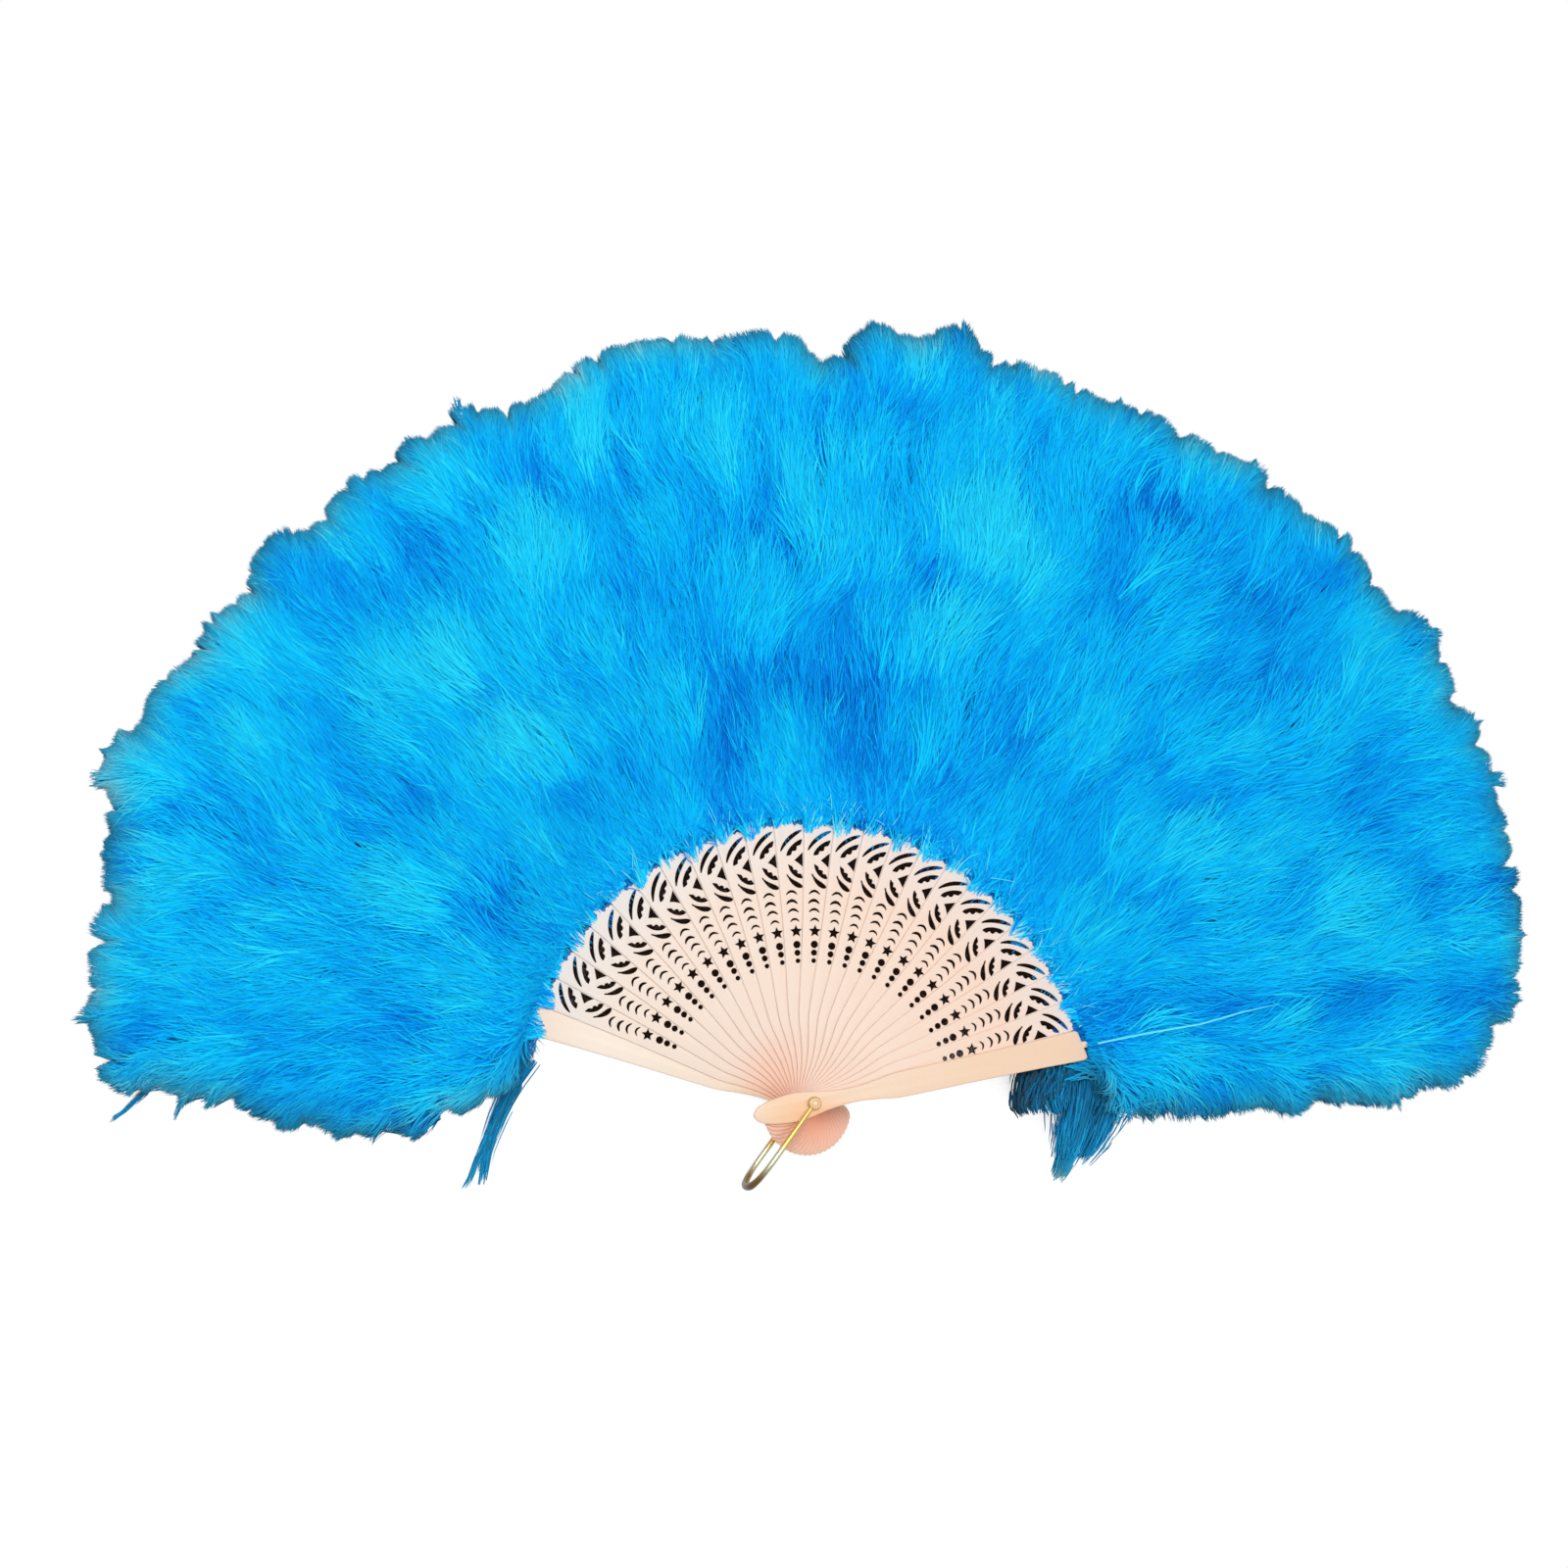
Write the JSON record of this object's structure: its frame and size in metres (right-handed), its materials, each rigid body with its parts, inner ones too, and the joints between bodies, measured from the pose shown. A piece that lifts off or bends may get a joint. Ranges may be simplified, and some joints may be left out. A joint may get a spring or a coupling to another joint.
{
  "type": "feather fan",
  "caption": "Folding hand fan of pierced plastic sticks between two guards on a rivet, with a wire bail and a wide fringe of fluffy feathers.",
  "frame": {"origin": "on the rivet's axis, at the underside of its back head, with the open fan lying on its back", "axes": "+Z along the rivet's axis, up from the back guard to the front guard; +Y towards the feathers; +X to the right, seen from the front"},
  "size_m": [0.685, 0.4065, 0.046],
  "materials": {
    "guard_plastic": "satin",
    "stick_plastic": "satin",
    "rivet_plastic": "gloss",
    "bail_wire": "polished",
    "plume": "matte",
    "ribbon": "satin"
  },
  "bodies": {
    "back_guard": {"guard_back": "guard_plastic", "rivet_cap": "rivet_plastic", "rivet_pin": "rivet_plastic", "plume_back_guard": "plume", "link_ribbon": "ribbon"},
    "stave_01": {"stick_01": "stick_plastic", "plume_01": "plume"},
    "stave_02": {"stick_02": "stick_plastic", "plume_02": "plume"},
    "stave_03": {"stick_03": "stick_plastic", "plume_03": "plume"},
    "stave_04": {"stick_04": "stick_plastic", "plume_04": "plume"},
    "stave_05": {"stick_05": "stick_plastic", "plume_05": "plume"},
    "stave_06": {"stick_06": "stick_plastic", "plume_06": "plume"},
    "stave_07": {"stick_07": "stick_plastic", "plume_07": "plume"},
    "stave_08": {"stick_08": "stick_plastic", "plume_08": "plume"},
    "stave_09": {"stick_09": "stick_plastic", "plume_09": "plume"},
    "stave_10": {"stick_10": "stick_plastic", "plume_10": "plume"},
    "stave_11": {"stick_11": "stick_plastic", "plume_11": "plume"},
    "stave_12": {"stick_12": "stick_plastic", "plume_12": "plume"},
    "stave_13": {"stick_13": "stick_plastic", "plume_13": "plume"},
    "stave_14": {"stick_14": "stick_plastic", "plume_14": "plume"},
    "stave_15": {"stick_15": "stick_plastic", "plume_15": "plume"},
    "stave_16": {"stick_16": "stick_plastic", "plume_16": "plume"},
    "stave_17": {"stick_17": "stick_plastic", "plume_17": "plume"},
    "stave_18": {"stick_18": "stick_plastic", "plume_18": "plume"},
    "stave_19": {"stick_19": "stick_plastic", "plume_19": "plume"},
    "stave_20": {"stick_20": "stick_plastic", "plume_20": "plume"},
    "stave_21": {"stick_21": "stick_plastic", "plume_21": "plume"},
    "stave_22": {"stick_22": "stick_plastic", "plume_22": "plume"},
    "stave_23": {"stick_23": "stick_plastic", "plume_23": "plume"},
    "front_guard": {"guard_front": "guard_plastic", "plume_front_guard": "plume"},
    "bail": {"bail": "bail_wire"}
  },
  "joints": [
    {"name": "fan_spread", "type": "hinge", "parent": "back_guard", "child": "front_guard", "pos_m": [0, 0, 0], "axis": [0, 0, 1], "range_deg": [0, 151.2], "deforming": ["plume_front_guard", "plume_back_guard", "link_ribbon"]},
    {"name": "stave_01_turn", "type": "hinge", "parent": "back_guard", "child": "stave_01", "pos_m": [0, 0, 0], "axis": [0, 0, 1], "range_deg": [0, 6.3], "deforming": ["plume_01"]},
    {"name": "stave_02_turn", "type": "hinge", "parent": "back_guard", "child": "stave_02", "pos_m": [0, 0, 0], "axis": [0, 0, 1], "range_deg": [0, 12.6], "deforming": ["plume_02"]},
    {"name": "stave_03_turn", "type": "hinge", "parent": "back_guard", "child": "stave_03", "pos_m": [0, 0, 0], "axis": [0, 0, 1], "range_deg": [0, 18.9], "deforming": ["plume_03"]},
    {"name": "stave_04_turn", "type": "hinge", "parent": "back_guard", "child": "stave_04", "pos_m": [0, 0, 0], "axis": [0, 0, 1], "range_deg": [0, 25.2], "deforming": ["plume_04"]},
    {"name": "stave_05_turn", "type": "hinge", "parent": "back_guard", "child": "stave_05", "pos_m": [0, 0, 0], "axis": [0, 0, 1], "range_deg": [0, 31.5], "deforming": ["plume_05"]},
    {"name": "stave_06_turn", "type": "hinge", "parent": "back_guard", "child": "stave_06", "pos_m": [0, 0, 0], "axis": [0, 0, 1], "range_deg": [0, 37.8], "deforming": ["plume_06"]},
    {"name": "stave_07_turn", "type": "hinge", "parent": "back_guard", "child": "stave_07", "pos_m": [0, 0, 0], "axis": [0, 0, 1], "range_deg": [0, 44.1], "deforming": ["plume_07"]},
    {"name": "stave_08_turn", "type": "hinge", "parent": "back_guard", "child": "stave_08", "pos_m": [0, 0, 0], "axis": [0, 0, 1], "range_deg": [0, 50.4], "deforming": ["plume_08"]},
    {"name": "stave_09_turn", "type": "hinge", "parent": "back_guard", "child": "stave_09", "pos_m": [0, 0, 0], "axis": [0, 0, 1], "range_deg": [0, 56.7], "deforming": ["plume_09"]},
    {"name": "stave_10_turn", "type": "hinge", "parent": "back_guard", "child": "stave_10", "pos_m": [0, 0, 0], "axis": [0, 0, 1], "range_deg": [0, 63], "deforming": ["plume_10"]},
    {"name": "stave_11_turn", "type": "hinge", "parent": "back_guard", "child": "stave_11", "pos_m": [0, 0, 0], "axis": [0, 0, 1], "range_deg": [0, 69.3], "deforming": ["plume_11"]},
    {"name": "stave_12_turn", "type": "hinge", "parent": "back_guard", "child": "stave_12", "pos_m": [0, 0, 0], "axis": [0, 0, 1], "range_deg": [0, 75.6], "deforming": ["plume_12"]},
    {"name": "stave_13_turn", "type": "hinge", "parent": "back_guard", "child": "stave_13", "pos_m": [0, 0, 0], "axis": [0, 0, 1], "range_deg": [0, 81.9], "deforming": ["plume_13"]},
    {"name": "stave_14_turn", "type": "hinge", "parent": "back_guard", "child": "stave_14", "pos_m": [0, 0, 0], "axis": [0, 0, 1], "range_deg": [0, 88.2], "deforming": ["plume_14"]},
    {"name": "stave_15_turn", "type": "hinge", "parent": "back_guard", "child": "stave_15", "pos_m": [0, 0, 0], "axis": [0, 0, 1], "range_deg": [0, 94.5], "deforming": ["plume_15"]},
    {"name": "stave_16_turn", "type": "hinge", "parent": "back_guard", "child": "stave_16", "pos_m": [0, 0, 0], "axis": [0, 0, 1], "range_deg": [0, 100.8], "deforming": ["plume_16"]},
    {"name": "stave_17_turn", "type": "hinge", "parent": "back_guard", "child": "stave_17", "pos_m": [0, 0, 0], "axis": [0, 0, 1], "range_deg": [0, 107.1], "deforming": ["plume_17"]},
    {"name": "stave_18_turn", "type": "hinge", "parent": "back_guard", "child": "stave_18", "pos_m": [0, 0, 0], "axis": [0, 0, 1], "range_deg": [0, 113.4], "deforming": ["plume_18"]},
    {"name": "stave_19_turn", "type": "hinge", "parent": "back_guard", "child": "stave_19", "pos_m": [0, 0, 0], "axis": [0, 0, 1], "range_deg": [0, 119.7], "deforming": ["plume_19"]},
    {"name": "stave_20_turn", "type": "hinge", "parent": "back_guard", "child": "stave_20", "pos_m": [0, 0, 0], "axis": [0, 0, 1], "range_deg": [0, 126], "deforming": ["plume_20"]},
    {"name": "stave_21_turn", "type": "hinge", "parent": "back_guard", "child": "stave_21", "pos_m": [0, 0, 0], "axis": [0, 0, 1], "range_deg": [0, 132.3], "deforming": ["plume_21"]},
    {"name": "stave_22_turn", "type": "hinge", "parent": "back_guard", "child": "stave_22", "pos_m": [0, 0, 0], "axis": [0, 0, 1], "range_deg": [0, 138.6], "deforming": ["plume_22"]},
    {"name": "stave_23_turn", "type": "hinge", "parent": "back_guard", "child": "stave_23", "pos_m": [0, 0, 0], "axis": [0, 0, 1], "range_deg": [0, 144.9], "deforming": ["plume_23"]},
    {"name": "bail_swing", "type": "hinge", "parent": "back_guard", "child": "bail", "pos_m": [0, 0, 0], "axis": [0, 0, 1], "range_deg": [-44, 110]}
  ],
  "couplings": [
    {"joint": "stave_01_turn", "follows": "fan_spread", "ratio": 0.041667},
    {"joint": "stave_02_turn", "follows": "fan_spread", "ratio": 0.083333},
    {"joint": "stave_03_turn", "follows": "fan_spread", "ratio": 0.125},
    {"joint": "stave_04_turn", "follows": "fan_spread", "ratio": 0.16667},
    {"joint": "stave_05_turn", "follows": "fan_spread", "ratio": 0.20833},
    {"joint": "stave_06_turn", "follows": "fan_spread", "ratio": 0.25},
    {"joint": "stave_07_turn", "follows": "fan_spread", "ratio": 0.29167},
    {"joint": "stave_08_turn", "follows": "fan_spread", "ratio": 0.33333},
    {"joint": "stave_09_turn", "follows": "fan_spread", "ratio": 0.375},
    {"joint": "stave_10_turn", "follows": "fan_spread", "ratio": 0.41667},
    {"joint": "stave_11_turn", "follows": "fan_spread", "ratio": 0.45833},
    {"joint": "stave_12_turn", "follows": "fan_spread", "ratio": 0.5},
    {"joint": "stave_13_turn", "follows": "fan_spread", "ratio": 0.54167},
    {"joint": "stave_14_turn", "follows": "fan_spread", "ratio": 0.58333},
    {"joint": "stave_15_turn", "follows": "fan_spread", "ratio": 0.625},
    {"joint": "stave_16_turn", "follows": "fan_spread", "ratio": 0.66667},
    {"joint": "stave_17_turn", "follows": "fan_spread", "ratio": 0.70833},
    {"joint": "stave_18_turn", "follows": "fan_spread", "ratio": 0.75},
    {"joint": "stave_19_turn", "follows": "fan_spread", "ratio": 0.79167},
    {"joint": "stave_20_turn", "follows": "fan_spread", "ratio": 0.83333},
    {"joint": "stave_21_turn", "follows": "fan_spread", "ratio": 0.875},
    {"joint": "stave_22_turn", "follows": "fan_spread", "ratio": 0.91667},
    {"joint": "stave_23_turn", "follows": "fan_spread", "ratio": 0.95833}
  ]
}
